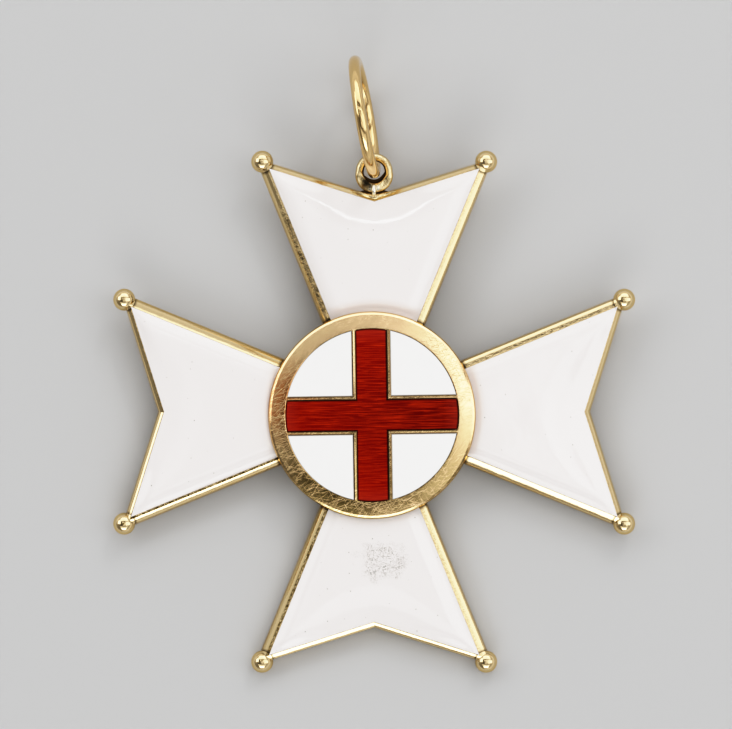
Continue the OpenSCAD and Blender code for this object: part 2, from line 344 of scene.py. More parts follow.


# Yellow gold, filed and polished: warm mirror highlights that wander with the hand filing,
# short file marks that glint on the level edges of the rims, and painted shade, dark brown, where
# the rims run into the balls and under the medallion. The marks are drawn 0.05 mm wide to show.
def polished_gold():
    material = new_material("yellow_gold_polished")
    tree = material.node_tree
    place = drawn_place(tree)
    waves = add_node(tree, "ShaderNodeTexNoise", inputs={"Vector": place, "Scale": 0.5, "Detail": 2.0})
    wavy = add_node(tree, "ShaderNodeBump", inputs={"Height": waves, "Distance": 0.02 * mm})
    marks = scratches(
        tree, place, ((25, 0.7, 0.055, 0.58), (112, 0.6, 0.055, 0.6), (161, 0.8, 0.06, 0.62))
    )
    facing = add_node(tree, "ShaderNodeNewGeometry")
    upright = add_node(tree, "ShaderNodeSeparateXYZ", inputs={0: facing.outputs["Normal"]})
    on_top = add_node(
        tree,
        "ShaderNodeMapRange",
        inputs={"Value": upright.outputs["Z"], "From Min": 0.97, "From Max": 0.995},
    )

    # The bevel on the left of the top arm was filed deeper, and its marks weren't polished out.
    times_deeper = 4.0
    on_bevel = add_node(
        tree,
        "ShaderNodeMapRange",
        inputs={"Value": upright.outputs["Z"], "From Min": 0.6, "From Max": 0.7, "To Max": times_deeper},
    )
    head_left = round_patch(tree, place, (-7, 15, rim_top), full_r=4.5, clear_r=6.5)
    on_left_bevel = add_node(
        tree, "ShaderNodeMath", {"operation": "MULTIPLY"}, {0: on_bevel, 1: head_left}
    )
    filed = add_node(tree, "ShaderNodeMath", {"operation": "MAXIMUM"}, {0: on_top, 1: on_left_bevel})
    file_marks = add_node(tree, "ShaderNodeMath", {"operation": "MULTIPLY"}, {0: marks, 1: filed})
    bump = add_node(
        tree,
        "ShaderNodeBump",
        {"invert": True},
        {"Height": file_marks, "Distance": 0.0035 * mm, "Normal": wavy},
    )

    # The eight balls lie alike, so the place is folded on to one of them. The painted shade starts
    # outside the ball itself. The one along the medallion lies on the face of the cross only.
    folded = add_node(tree, "ShaderNodeVectorMath", {"operation": "ABSOLUTE"}, {0: place})
    sides = add_node(tree, "ShaderNodeSeparateXYZ", inputs={0: folded})
    longer = add_node(
        tree, "ShaderNodeMath", {"operation": "MAXIMUM"}, {0: sides.outputs["X"], 1: sides.outputs["Y"]}
    )
    shorter = add_node(
        tree, "ShaderNodeMath", {"operation": "MINIMUM"}, {0: sides.outputs["X"], 1: sides.outputs["Y"]}
    )
    by_one_ball = add_node(tree, "ShaderNodeCombineXYZ", inputs={0: longer, 1: shorter})
    ball_axis = (ball_reach, ball_spread, 0)
    round_ball = round_patch(tree, by_one_ball, ball_axis, full_r=1.12, clear_r=1.4)
    on_ball = round_patch(tree, by_one_ball, ball_axis, full_r=ball_r - 0.02, clear_r=ball_r)
    by_ball = add_node(
        tree,
        "ShaderNodeMath",
        {"operation": "SUBTRACT", "use_clamp": True},
        {0: round_ball, 1: on_ball},
    )
    level = add_node(tree, "ShaderNodeVectorMath", {"operation": "MULTIPLY"}, {0: place, 1: (1, 1, 0)})
    by_medallion = round_patch(tree, level, medallion_offset, full_r=10.45, clear_r=10.75)
    above_back = add_node(
        tree,
        "ShaderNodeMapRange",
        inputs={"Value": sides.outputs["Z"], "From Min": 0.6, "From Max": cell_floor},
    )
    under_medallion = add_node(
        tree, "ShaderNodeMath", {"operation": "MULTIPLY"}, {0: by_medallion, 1: above_back}
    )
    shaded_crevices = add_node(
        tree, "ShaderNodeMath", {"operation": "MAXIMUM"}, {0: by_ball, 1: under_medallion}
    )

    # Painted shade, a dull olive in specks, also darkens the upward-facing level edges low on the left
    # of the badge.
    low_left = round_patch(tree, place, (-22, -14, rim_top), full_r=14, clear_r=32)
    left_edges = add_node(tree, "ShaderNodeMath", {"operation": "MULTIPLY"}, {0: on_top, 1: low_left})
    specks = add_node(tree, "ShaderNodeTexNoise", inputs={"Vector": place, "Scale": 4.5, "Detail": 2.0})
    dull = add_node(
        tree,
        "ShaderNodeMapRange",
        inputs={"Value": specks, "From Min": 0.42, "From Max": 0.58, "To Max": 0.95},
    )
    in_marks = add_node(tree, "ShaderNodeMath", {"operation": "MULTIPLY"}, {0: dull, 1: left_edges})
    painted_shade = add_node(
        tree, "ShaderNodeMix", {"data_type": "RGBA"}, {"Factor": in_marks, 6: gold_colour, 7: dull_olive_shade}
    )
    # Painted shade, dark brown, in the crevices round the balls and under the medallion's edge.
    shade_in_crevices = add_node(tree, "ShaderNodeMath", {"operation": "MULTIPLY"}, {0: shaded_crevices, 1: 0.85})
    between_marks = add_node(
        tree,
        "ShaderNodeMath",
        {"operation": "MULTIPLY_ADD", "use_clamp": True},
        {0: marks, 1: -1.6, 2: 1},
    )
    on_rough_bevel = add_node(
        tree, "ShaderNodeMath", {"operation": "MULTIPLY"}, {0: between_marks, 1: on_left_bevel}
    )
    shade_and_grime = add_node(
        tree,
        "ShaderNodeMath",
        {"operation": "MULTIPLY_ADD", "use_clamp": True},
        {0: on_rough_bevel, 1: 0.14, 2: shade_in_crevices},
    )
    colour = add_node(
        tree,
        "ShaderNodeMix",
        {"data_type": "RGBA"},
        {"Factor": shade_and_grime, 6: painted_shade.outputs[2], 7: shade_and_old_polish},
    )
    shader = add_node(
        tree,
        "ShaderNodeBsdfPrincipled",
        inputs={
            "Base Color": colour.outputs[2],
            "Metallic": 1.0,
            "Roughness": 0.12,
            "Specular Tint": gold_edge_colour,
            "Normal": bump,
        },
    )
    add_node(tree, "ShaderNodeOutputMaterial", inputs={"Surface": shader})
    return material


tray = skin(cross_rings(), first=(0, 0, plate_back), last=(0, 0, cell_floor), creased=True)
seat_foot = 0.5
seat_edge = 0.05
seat_profile = [(0, seat_foot), (seat_r, seat_foot), (seat_r, seat_top - seat_edge)]
seat_profile += [(seat_r - seat_edge, seat_top), (0, seat_top)]
seat = lathe(seat_profile)
ball_steps = 32
ball_angles = [math.pi * k / ball_steps for k in range(ball_steps + 1)]
ball_profile = [(ball_r * math.sin(a), ball_r - ball_r * math.cos(a)) for a in ball_angles]
balls = [
    lathe(ball_profile, turned((ball_reach, side * ball_spread), k * math.pi / 2), 48)
    for k in range(4)
    for side in (-1, 1)
]

# The eye stands in the notch of the top arm, in the plane of the badge. It is bent from round
# wire. The solder that holds it spread its foot, and flooded along the point of the notch.
eye_reach = 24.0
eye_wire_r = 0.4
eye_hole_r = 1.05


def bent_eye(around=180, about=48):
    """The eye: round wire at its head, wider at its foot, with a hollow on either side where
    the wire turns in. Each hollow is (its angle, how far it spreads, its depth)."""
    hollows = ((230, 30, 0.3), (312, 24, 0.16))
    foot_spread = 0.15
    rings = []
    for i in range(around):
        angle = 360 * i / around
        a = math.radians(angle)
        foot = max(-math.sin(a), 0) ** 0.8
        half_w = eye_wire_r + foot_spread * foot
        sunk = sum(deep * math.exp(-(((angle - at) / wide) ** 2)) for at, wide, deep in hollows)
        ring = []
        for k in range(about):
            b = 2 * math.pi * k / about
            r = eye_hole_r + half_w * (1 + math.cos(b))
            z = ball_r + eye_wire_r * math.sin(b) - sunk * max(math.sin(b), 0) ** 4
            ring.append((r * math.cos(a), eye_reach + r * math.sin(a), z))
        rings.append(ring)
    return skin(rings, closed=True)


def loaf(sections, about=28):
    """A rounded bar across the badge. Each section is (x, low y, high y, low z, high z)."""
    rings = []
    for x, y0, y1, z0, z1 in sections:
        ring = []
        for k in range(about):
            a = 2 * math.pi * k / about
            c = math.copysign(abs(math.cos(a)) ** 0.7, math.cos(a))
            s = math.copysign(abs(math.sin(a)) ** 0.7, math.sin(a))
            ring.append((x, (y0 + y1 + (y1 - y0) * c) / 2, (z0 + z1 + (z1 - z0) * s) / 2))
        rings.append(ring)
    ends = [(s[0], (s[1] + s[2]) / 2, (s[3] + s[4]) / 2) for s in (sections[0], sections[-1])]
    return skin(rings, *ends)


def across(half_w, steps=40):
    """Places from side to side of a bar, closer together at its round ends, with how much of
    the bar's thickness each has: 1 in the middle, and hardly any at the ends."""
    just_inside = 0.9999
    places = []
    for k in range(steps + 1):
        x = half_w * math.sin(math.pi * (k / steps - 0.5)) * just_inside
        places.append((x, 1 - (x / half_w) ** 2))
    return places


def solder_bead():
    """Solder along the point of the notch, lying up against its rim and over it. It is uneven
    along its top, and thins out to both ends."""
    bead_half_w = 2.2
    sections = []
    for x, full in across(bead_half_w):
        line = outer_reach - 0.28 + abs(x) * notch_slope
        uneven = 0.04 * math.sin(4.3 * x + 0.6)
        top = rim_top - 0.12 + 0.17 * full**0.5 + uneven
        sections.append((x, line - 0.02 - 0.16 * full, line + 0.1 + 0.26 * full, cell_floor, top))
    return loaf(sections)


drop_middle = (-0.02, eye_reach - 1.86, 1.42)
drop_sizes = (0.27, 0.66, 0.36)


def solder_drop():
    """The drop of solder where the foot of the eye touches the point of the notch."""
    angles = [math.pi * k / 16 for k in range(17)]
    points, faces, creases = lathe([(math.sin(a), -math.cos(a)) for a in angles], steps=32)
    moved = [tuple(c * s + m for c, s, m in zip(p, drop_sizes, drop_middle)) for p in points]
    return moved, faces, creases


soldered_colour = linear("#DFCBA2")
solder_colour = linear("#F8F3E4")


# Yellow gold, soldered and left as the torch left it: soft lumps that break its highlights,
# a drop of paler solder, and painted shade, dark brown, in the left hollow of the eye and round
# the inside of its hole.
def soldered_gold():
    material = new_material("yellow_gold_soldered")
    tree = material.node_tree
    place = drawn_place(tree)
    lumps = add_node(tree, "ShaderNodeTexNoise", inputs={"Vector": place, "Scale": 1.5, "Detail": 2.0})
    bump = add_node(tree, "ShaderNodeBump", inputs={"Height": lumps, "Distance": 0.07 * mm})
    drop_top = (drop_middle[0], drop_middle[1], 1.7)
    on_drop = round_patch(tree, place, drop_top, full_r=0.4, clear_r=0.8)
    metal = add_node(
        tree,
        "ShaderNodeMix",
        {"data_type": "RGBA"},
        {"Factor": on_drop, 6: soldered_colour, 7: solder_colour},
    )
    # Painted shade, dark brown, in the left hollow of the eye and round the inside of its hole.
    left_hollow = (-0.84, eye_reach - 1.2, 1.3)
    in_hollow = round_patch(tree, place, left_hollow, full_r=0.35, clear_r=0.9)
    shade_in_hollow = add_node(tree, "ShaderNodeMath", {"operation": "MULTIPLY"}, {0: in_hollow, 1: 0.85})
    shade_in_hole = round_patch(tree, place, (0, eye_reach, ball_r), full_r=1.12, clear_r=1.28)
    dark = add_node(tree, "ShaderNodeMath", {"operation": "MAXIMUM"}, {0: shade_in_hole, 1: shade_in_hollow})
    colour = add_node(
        tree,
        "ShaderNodeMix",
        {"data_type": "RGBA"},
        {"Factor": dark, 6: metal.outputs[2], 7: shade_and_old_polish},
    )
    shader = add_node(
        tree,
        "ShaderNodeBsdfPrincipled",
        inputs={
            "Base Color": colour.outputs[2],
            "Metallic": 1.0,
            "Roughness": 0.22,
            "Specular Tint": gold_edge_colour,
            "Normal": bump,
        },
    )
    add_node(tree, "ShaderNodeOutputMaterial", inputs={"Surface": shader})
    return material


def shaded_solder_below():
    """The solder set back under the eye: below its foot, and in the foot of its hole, where it
    lies as a crescent that is thickest a little to the right. They are made nearly black, as
    painted shade; the crescent stands for the shadow in the hole."""
    set_back_z = 0.95
    under_half_w = 1.35
    under_foot = []
    for x, full in across(under_half_w):
        y = outer_reach - 0.1 + abs(x) * notch_slope
        low_z = set_back_z - 0.3 * full
        high_z = set_back_z + 0.2 * full
        under_foot.append((x, y, y + 0.15 + 0.45 * full, low_z, high_z))
    thickest_at = 280
    spread = 80
    crescent = []
    for aside, full in across(spread):
        a = math.radians(thickest_at + aside)
        ring = []
        for k in range(20):
            b = 2 * math.pi * k / 20
            r = eye_hole_r + 0.06 + 0.34 * full**0.5 * math.cos(b)
            z = set_back_z + 0.12 * full**0.5 * math.sin(b)
            ring.append((r * math.cos(a), eye_reach + r * math.sin(a), z))
        crescent.append(ring)
    ends = []
    for ring in (crescent[0], crescent[-1]):
        ends.append(tuple(sum(p[i] for p in ring) / len(ring) for i in range(3)))
    return [loaf(under_foot), skin(crescent, *ends)]


shade_speck_colour = linear("#5A4526")


# Painted shade as gold: rough, and nearly black with small lighter specks, for the solder set
# back under the eye and the crescent in its hole.
def painted_shade_gold():
    material = new_material("yellow_gold_painted_shade")
    tree = material.node_tree
    place = drawn_place(tree)
    dust = add_node(tree, "ShaderNodeTexNoise", inputs={"Vector": place, "Scale": 4.0, "Detail": 3.0})
    colour = add_node(
        tree, "ShaderNodeMix", {"data_type": "RGBA"}, {"Factor": dust, 6: shade_and_old_polish, 7: shade_speck_colour}
    )
    shader = add_node(
        tree,
        "ShaderNodeBsdfPrincipled",
        inputs={"Base Color": colour.outputs[2], "Metallic": 0.6, "Roughness": 0.5},
    )
    add_node(tree, "ShaderNodeOutputMaterial", inputs={"Surface": shader})
    return material


gold_cross = make_piece("gold_cross", [tray, seat, *balls], polished_gold())
soldered_eye = make_piece("soldered_eye", [bent_eye(), solder_bead(), solder_drop()], soldered_gold())
# The dark solder under the eye and the crescent in its hole are painted shade.
shade_under_eye = make_piece("shade_under_eye", shaded_solder_below(), painted_shade_gold())
for part in (gold_cross, soldered_eye, shade_under_eye):
    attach(part, "root")
    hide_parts("cross_body")


# The enamel of the arms. White glass powder was laid in each cell, fired, stoned level with
# the rims and fired again, so that it stands in the middle as a soft cushion.
# The enamel stops this far short of the gold.
seam = 0.015
enamel_edge = rim_top - seam
cushion_h = 0.5
# The cushion goes on rising this far from its sides and from the notch. By the medallion only
# a share of it rises, from where the enamel comes out from under the medallion's edge.
side_run = 1.5
notch_run = 4.4
seat_run = 0.9
seat_share = 0.3
seat_shows_r = 10.3
# How the cushion's lines bow before the notch: by how much 1 mm to the side, how far in from
# the rim the bow has mostly come in, and its limit.
bow = 0.075
bow_depth = 0.9
bow_most = 3.5
enamel_foot_inset = 0.12
uneven_h = 0.02
uneven_mm = 5
enamel_rows = 84
enamel_cols = 84


def rise(distance, run):
    """How the cushion rises with the distance from one edge: 0 at the edge, 1 past the run."""
    return 1 - (1 - min(max(distance, 0) / run, 1)) ** 2


def notch_distance(u, v, reach):
    """Distance to the notch. The fold that its point would make in the cushion is eased away
    from the edge, where the cushion's lines bow instead."""
    aside = abs(v) * math.sin(notch_angle)
    straight = (reach - u) * math.cos(notch_angle) + aside
    away_from_edge = 1 - math.exp(-((straight / bow_depth) ** 2))
    return straight + away_from_edge * bow_most * math.tanh((bow * v * v - aside) / bow_most)


def arm_grid(inset):
    """Places across and along an arm's cell: from the seat to the notch, side to side."""
    root = enamel_root - inset / math.cos(side_angle)
    reach = notch_reach - inset / math.cos(notch_angle)
    start_r = seat_r + inset
    grid = []
    for i in range(enamel_rows + 1):
        row = []
        for j in range(enamel_cols + 1):
            # A line along the cell, v = t * (root + u * side_slope), from where it leaves the
            # round seat, at a root of a * u**2 + 2 * b * u + c, to where it meets the notch.
            t = 2 * j / enamel_cols - 1
            a = 1 + (t * side_slope) ** 2
            b = t * t * root * side_slope
            c = (t * root) ** 2 - start_r**2
            start = (math.sqrt(b * b - a * c) - b) / a
            end = (reach + abs(t) * root * notch_slope) / (1 - abs(t) * side_slope * notch_slope)
            u = start + (end - start) * i / enamel_rows
            row.append((u, t * (root + u * side_slope)))
        grid.append(row)
    return grid


def arm_cushion(turn):
    """The enamel of one arm: a domed grid over a level one, and the wall that joins them."""
    root = enamel_root - seam / math.cos(side_angle)
    reach = notch_reach - seam / math.cos(notch_angle)
    points = []
    for row in arm_grid(seam):
        for u, v in row:
            half_w = root + u * side_slope
            by_seat = 1 - seat_share + seat_share * rise(math.hypot(u, v) - seat_shows_r, seat_run)
            height = (
                cushion_h
                * rise((half_w - v) * math.cos(side_angle), side_run)
                * rise((half_w + v) * math.cos(side_angle), side_run)
                * rise(notch_distance(u, v, reach), notch_run)
                * by_seat
            )
            x, y = turned((u, v), turn)
            lumps = noise.noise(Vector((x, y, turn)) / uneven_mm)
            uneven = uneven_h * lumps * height / cushion_h
            points.append((x, y, enamel_edge + height + uneven))
    stride = enamel_cols + 1
    top_count = len(points)
    for row in arm_grid(enamel_foot_inset):
        points += [(*turned(p, turn), cell_floor + seam) for p in row]
    faces = []
    for i in range(enamel_rows):
        for j in range(enamel_cols):
            k = i * stride + j
            quad = (k, k + 1, k + 1 + stride, k + stride)
            faces.append(quad)
            faces.append(tuple(top_count + q for q in reversed(quad)))
    border = (
        list(range(enamel_cols))
        + [i * stride + enamel_cols for i in range(enamel_rows)]
        + [enamel_rows * stride + j for j in range(enamel_cols, 0, -1)]
        + [i * stride for i in range(enamel_rows, 0, -1)]
    )
    for k, here in enumerate(border):
        after = border[(k + 1) % len(border)]
        faces.append((here, top_count + here, top_count + after, after))
    return points, faces, []


arm_white = linear("#EBE6E4")
# Brown for painted shade and painted reflection of the gold along the medallion.
brown_shade_white = linear("#D8C6BB")
pore_grey = linear("#B4B1AC")


# Opaque white enamel, fired glossy: a clean warm white under a thin wet shine, with fine pores,
# a faint brown painted shade and painted reflection of the gold along the medallion, and on the
# lower arm a rubbed spot.
def arm_enamel(name, worn_at=None):
    material = new_material(name)
    tree = material.node_tree
    place = drawn_place(tree)
    pore_cells = add_node(
        tree,
        "ShaderNodeTexVoronoi",
        {"voronoi_dimensions": "2D", "feature": "F1"},
        {"Vector": place, "Scale": 0.45},
    )
    pore_size = add_node(tree, "ShaderNodeSeparateColor", inputs={0: pore_cells.outputs["Color"]})
    pore_edge = add_node(
        tree,
        "ShaderNodeMapRange",
        inputs={"Value": pore_size.outputs["Red"], "From Min": 0.2, "From Max": 1.0, "To Max": 0.03},
    )
    in_pore = add_node(
        tree,
        "ShaderNodeMath",
        {"operation": "LESS_THAN"},
        {0: pore_cells.outputs["Distance"], 1: pore_edge},
    )
    dark = in_pore
    if worn_at:
        crazing = add_node(
            tree,
            "ShaderNodeTexNoise",
            inputs={"Vector": place, "Scale": 2.1, "Detail": 2.0, "Distortion": 2.0},
        )
        line = add_node(
            tree, "ShaderNodeMath", {"operation": "COMPARE"}, {0: crazing, 1: 0.53, 2: 0.025}
        )
        patchy = add_node(
            tree, "ShaderNodeTexNoise", inputs={"Vector": place, "Scale": 0.9, "Detail": 2.0}
        )

        # The spot is wider than it is high, so it is round once its width is squeezed.
        squeeze = 0.8
        squeezed = add_node(
            tree, "ShaderNodeVectorMath", {"operation": "MULTIPLY"}, {0: place, 1: (squeeze, 1, 1)}
        )
        middle = (squeeze * worn_at[0], worn_at[1], worn_at[2])
        worn = round_patch(tree, squeezed, middle, full_r=0, clear_r=4.2)
        ragged = add_node(
            tree, "ShaderNodeMath", {"operation": "MULTIPLY_ADD"}, {0: patchy, 1: -0.75, 2: worn}
        )
        rubbed = add_node(
            tree, "ShaderNodeMapRange", inputs={"Value": ragged, "From Min": 0.08, "From Max": 0.34}
        )
        spots = add_node(tree, "ShaderNodeMath", {"operation": "MULTIPLY"}, {0: line, 1: rubbed})
        dark = add_node(tree, "ShaderNodeMath", {"operation": "MAXIMUM"}, {0: dark, 1: spots})

    # The brown painted shade is widest on the top arm, so its middle lies above the medallion's.
    shade_middle = (0, 0.3, 0)
    level = add_node(tree, "ShaderNodeVectorMath", {"operation": "MULTIPLY"}, {0: place, 1: (1, 1, 0)})
    round_medallion = round_patch(tree, level, shade_middle, full_r=10.4, clear_r=11.1)
    by_medallion = add_node(
        tree, "ShaderNodeMath", {"operation": "MULTIPLY"}, {0: round_medallion, 1: 0.35}
    )
    shaded_white = add_node(
        tree,
        "ShaderNodeMix",
        {"data_type": "RGBA"},
        {"Factor": by_medallion, 6: arm_white, 7: brown_shade_white},
    )
    colour = add_node(
        tree,
        "ShaderNodeMix",
        {"data_type": "RGBA"},
        {"Factor": dark, 6: shaded_white.outputs[2], 7: pore_grey},
    )
    peel = add_node(tree, "ShaderNodeTexNoise", inputs={"Vector": place, "Scale": 0.8, "Detail": 1.0})
    peel_bump = add_node(tree, "ShaderNodeBump", inputs={"Height": peel, "Distance": 0.006 * mm})
    pit_bump = add_node(
        tree,
        "ShaderNodeBump",
        {"invert": True},
        {"Height": dark, "Distance": 0.01 * mm, "Normal": peel_bump},
    )
    shader = add_node(
        tree,
        "ShaderNodeBsdfPrincipled",
        inputs={"Base Color": colour.outputs[2], "Roughness": 0.05, "IOR": 1.52, "Normal": pit_bump},
    )
    add_node(tree, "ShaderNodeOutputMaterial", inputs={"Surface": shader})
    return material


worn_spot = (0.8, -14.9, enamel_edge + cushion_h)
white = arm_enamel("white_enamel_fired")
for arm, quarter in (("right", 0), ("top", 1), ("left", 2), ("bottom", 3)):
    finish = white
    if arm == "bottom":
        finish = arm_enamel("white_enamel_rubbed", worn_spot)
    cushion = make_piece("enamel_of_" + arm + "_arm", [arm_cushion(quarter * math.pi / 2)], finish)
    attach(cushion, "root")
    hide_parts("arm_enamel_" + arm)


# The medallion. A round disc of yellow gold, cut out for the enamel of the red cross and of
# the four quarters round it, lapped level with the enamel and pinned on its seat.
medallion_r = 10.25
medallion_foot_r = 10.35
medallion_back = 2.53
medallion_top = 3.28
field_floor = 2.88
field_r = 8.65
bar_half_w = 1.575
bar_corner_r = 0.25
bar_wall_w = 0.32
# It sits a little off the middle, and was pinned a little turned.
medallion_turn = math.radians(0.85)
on_seat = lie @ Matrix.Translation(medallion_offset) @ Matrix.Rotation(medallion_turn, 4, "Z")


def arc(centre, r, start, end, steps):
    """Points of an arc, both ends included."""
    angles = [start + (end - start) * k / steps for k in range(steps + 1)]
    return [(centre[0] + r * math.cos(a), centre[1] + r * math.sin(a)) for a in angles]


def red_cross_outline(grow, turn=0):
    """The outline of the red cross: bars with round ends and small round corners."""
    end_r = field_r + grow
    half_w = bar_half_w + grow
    corner_v = half_w - bar_corner_r
    corner_u = math.sqrt((end_r - bar_corner_r) ** 2 - corner_v**2)
    slant = math.atan2(corner_v, corner_u)
    bar = arc((corner_u, -corner_v), bar_corner_r, -math.pi / 2, -slant, 6)
    bar += arc((0, 0), end_r, -slant, slant, 16)[1:-1]
    bar += arc((corner_u, corner_v), bar_corner_r, slant, math.pi / 2, 6)
    bar.append((half_w, half_w))
    return [turned(p, turn + k * math.pi / 2) for k in range(4) for p in bar]


def quarter_outline(grow, turn):
    """The outline of the white quarter between two bars."""
    start = bar_half_w + bar_wall_w - grow
    r = field_r + grow
    slant = math.asin(start / r)
    outline = [(start, start)] + arc((0, 0), r, slant, math.pi / 2 - slant, 32)
    return [turned(p, turn) for p in outline]


def inside_outline(point, outline):
    """Whether a point lies inside a closed outline."""
    x, y = point
    inside = False
    for a, b in zip(outline, outline[1:] + outline[:1]):
        if (a[1] > y) != (b[1] > y) and x < a[0] + (y - a[1]) * (b[0] - a[0]) / (b[1] - a[1]):
            inside = not inside
    return inside


def medallion_disc():
    """The disc: its wall, its bevelled edge, and its lapped top, cut out for the enamel. The
    top falls away a little towards the edge, and the edges of the cut-outs are rounded."""
    steps = 240
    fall_r = 9.35
    fall = 0.025
    bevel_w = 0.22
    bevel_slant = math.radians(27)
    corner_w = 0.03
    edge_top = medallion_top - 0.06
    worn_w = 0.06
    worn_h = 0.016
    pockets = [(red_cross_outline, 0)]
    pockets += [(quarter_outline, k * math.pi / 2) for k in range(4)]
    flat = []
    heights = []
    edges = []

    def add_loop(outline, height):
        """Add a closed outline at a height, and return its edges."""
        start = len(flat)
        count = len(outline)
        flat.extend(outline)
        heights.extend([height] * count)
        loop = [(start + k, start + (k + 1) % count) for k in range(count)]
        edges.extend(loop)
        return loop

    def circle(r):
        return arc((0, 0), r, 0, 2 * math.pi, steps)[:-1]

    add_loop(circle(medallion_r - bevel_w), edge_top)
    add_loop(circle(fall_r), medallion_top - fall)
    add_loop(circle(field_r + worn_w + 0.04), medallion_top)
    for outline_at, turn in pockets:
        add_loop(outline_at(worn_w, turn), medallion_top)
    walls = []
    for outline_at, turn in pockets:
        walls += add_loop(outline_at(0, turn), medallion_top - worn_h)
    cut = geometry.delaunay_2d_cdt([Vector(p) for p in flat], edges, [], 1, 1e-6)
    outlines = [outline_at(0, turn) for outline_at, turn in pockets]
    points = [(p[0], p[1], z) for p, z in zip(flat, heights)]
    floor_start = len(points)
    points += [(p[0], p[1], field_floor) for p in flat]
    faces = []
    for triangle in cut[2]:
        middle = [sum(flat[k][i] for k in triangle) / 3 for i in range(2)]
        low = any(inside_outline(middle, outline) for outline in outlines)
        faces.append(tuple(k + floor_start if low else k for k in triangle))
    for a, b in walls:
        faces.append((a, b, b + floor_start, a + floor_start))
    bevel_bottom = edge_top - (bevel_w - corner_w) * math.tan(bevel_slant)
    foot_edge = 0.05
    profile = [
        (medallion_r - corner_w, bevel_bottom),
        (medallion_r, bevel_bottom - 0.04),
        (medallion_foot_r, medallion_back + foot_edge),
        (medallion_foot_r - foot_edge, medallion_back),
    ]
    above = range(steps)
    for r, z in profile:
        ring = range(len(points), len(points) + steps)
        points += [(*p, z) for p in circle(r)]
        for k in range(steps):
            n = (k + 1) % steps
            faces.append((above[k], above[n], ring[n], ring[k]))
        above = ring
    points.append((0, 0, medallion_back))
    faces += [(above[k], above[(k + 1) % steps], len(points) - 1) for k in range(steps)]
    used = sorted({k for face in faces for k in face})
    place = {k: n for n, k in enumerate(used)}
    creases = [(place[a], place[b]) for a, b in walls]
    return ([points[k] for k in used], [tuple(place[k] for k in face) for face in faces], creases)


def wall_distances(tree):
    """How far a place of the medallion lies from the middle line of the nearer bar, and how far
    inside the ring it lies."""
    place = drawn_place(tree, on_seat)
    folded = add_node(tree, "ShaderNodeVectorMath", {"operation": "ABSOLUTE"}, {0: place})
    sides = add_node(tree, "ShaderNodeSeparateXYZ", inputs={0: folded})
    nearer = add_node(
        tree, "ShaderNodeMath", {"operation": "MINIMUM"}, {0: sides.outputs["X"], 1: sides.outputs["Y"]}
    )
    level = add_node(tree, "ShaderNodeVectorMath", {"operation": "MULTIPLY"}, {0: place, 1: (1, 1, 0)})
    from_middle = add_node(tree, "ShaderNodeVectorMath", {"operation": "LENGTH"}, {0: level})
    from_ring = add_node(
        tree, "ShaderNodeMath", {"operation": "SUBTRACT"}, {0: field_r, 1: from_middle.outputs["Value"]}
    )
    return place, nearer, from_ring


lapped_colour = linear("#F2D4A8")
left_brown_shade = linear("#D69E70")
olive_shade = linear("#AE9A6C")
wall_shade_on_gold = linear("#6B5433")


